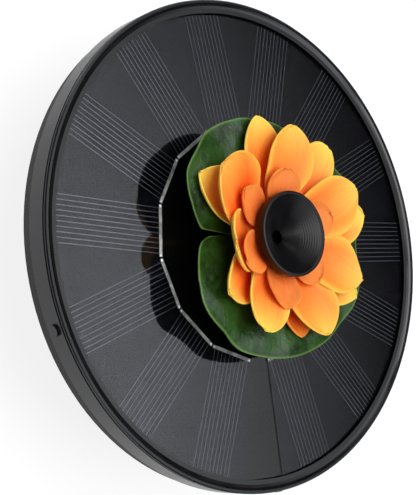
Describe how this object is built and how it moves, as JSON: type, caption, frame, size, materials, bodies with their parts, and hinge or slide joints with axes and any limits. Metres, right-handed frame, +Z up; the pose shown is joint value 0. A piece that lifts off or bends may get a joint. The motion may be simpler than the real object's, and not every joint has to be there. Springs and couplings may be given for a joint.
{
  "type": "floating solar fountain pump",
  "caption": "Round floating solar panel with a submersible fountain pump beneath, a lotus leaf and flower ornament, and a funnel nozzle at its centre.",
  "frame": {"origin": "centre of the strainer's flat underside", "axes": "+Z up the disc's axis towards the nozzle, +X through the wide gap between the first and the last solar cell"},
  "size_m": [0.1806, 0.18, 0.0832],
  "materials": {
    "housing_black": "satin moulded",
    "board_black": "satin laminate",
    "cell_black": "smooth silicon",
    "tinned_ribbon": "dull solder",
    "clear_resin": "clear gloss",
    "rubber_black": "matt",
    "seal_black": "smooth sealant",
    "board_green": "solder mask",
    "package_black": "matt moulding",
    "screw_steel": "zinc plated",
    "wire_red": "insulation",
    "pump_black": "satin moulded",
    "core_steel": "laminated",
    "copper": "enamelled wire",
    "potting_black": "cast epoxy",
    "ceramic_white": "polished ceramic",
    "ferrite": "moulded ferrite",
    "impeller_white": "moulded",
    "graphite": "moulded graphite",
    "sponge_dark": "open-cell foam",
    "nozzle_black": "satin moulded",
    "leaf_green": "embossed foam sheet",
    "petal_orange": "foam sheet",
    "petal_deep_orange": "foam sheet",
    "funnel_black": "satin rubber"
  },
  "bodies": {
    "float": {"float_housing": "housing_black", "rim_bezel": "housing_black", "panel_seal": "seal_black", "panel_board": "board_black", "tab_ribbons": "tinned_ribbon", "panel_cover": "clear_resin", "panel_grommet": "rubber_black", "deck_grommet": "rubber_black", "outlet_tube": "housing_black", "regulator_board": "board_green", "blocking_diode": "package_black", "board_screws": "screw_steel", "panel_leads": "wire_red", "pump_leads": "wire_red", "pump_body": "pump_black", "stator_core": "core_steel", "stator_coils": "copper", "potting": "potting_black", "motor_cap": "pump_black", "shaft": "ceramic_white", "thrust_washers": "ceramic_white", "volute_cover": "pump_black", "cover_o_ring": "rubber_black", "cover_screws": "screw_steel", "pump_screws": "screw_steel", "solar_cell_01": "cell_black", "solar_cell_02": "cell_black", "solar_cell_03": "cell_black", "solar_cell_04": "cell_black", "solar_cell_05": "cell_black", "solar_cell_06": "cell_black", "solar_cell_07": "cell_black", "solar_cell_08": "cell_black", "solar_cell_09": "cell_black", "solar_cell_10": "cell_black", "solar_cell_11": "cell_black", "solar_cell_12": "cell_black", "solar_cell_13": "cell_black", "solar_cell_14": "cell_black"},
    "rotor": {"rotor_magnet": "ferrite", "impeller": "impeller_white", "rotor_bushes": "graphite"},
    "ornament": {"nozzle_tube": "nozzle_black", "leaf_pad": "leaf_green", "petals_outer": "petal_orange", "petals_middle": "petal_orange", "petals_inner": "petal_deep_orange"},
    "nozzle": {"funnel_nozzle": "funnel_black"},
    "strainer": {"strainer_screen": "housing_black", "strainer_base": "housing_black", "filter_sponge": "sponge_dark"}
  },
  "joints": [
    {"name": "rotor_spin", "type": "hinge", "parent": "float", "child": "rotor", "pos_m": [-0.008, -0.00775, 0.028], "axis": [1, 0, 0], "continuous": true},
    {"name": "ornament_lift", "type": "slide", "parent": "float", "child": "ornament", "axis": [0, 0, 1], "range_m": [0, 0.02]},
    {"name": "funnel_pull", "type": "slide", "parent": "ornament", "child": "nozzle", "axis": [0, 0, 1], "range_m": [0, 0.012]},
    {"name": "strainer_pull", "type": "slide", "parent": "float", "child": "strainer", "axis": [0, 0, -1], "range_m": [0, 0.03]}
  ]
}
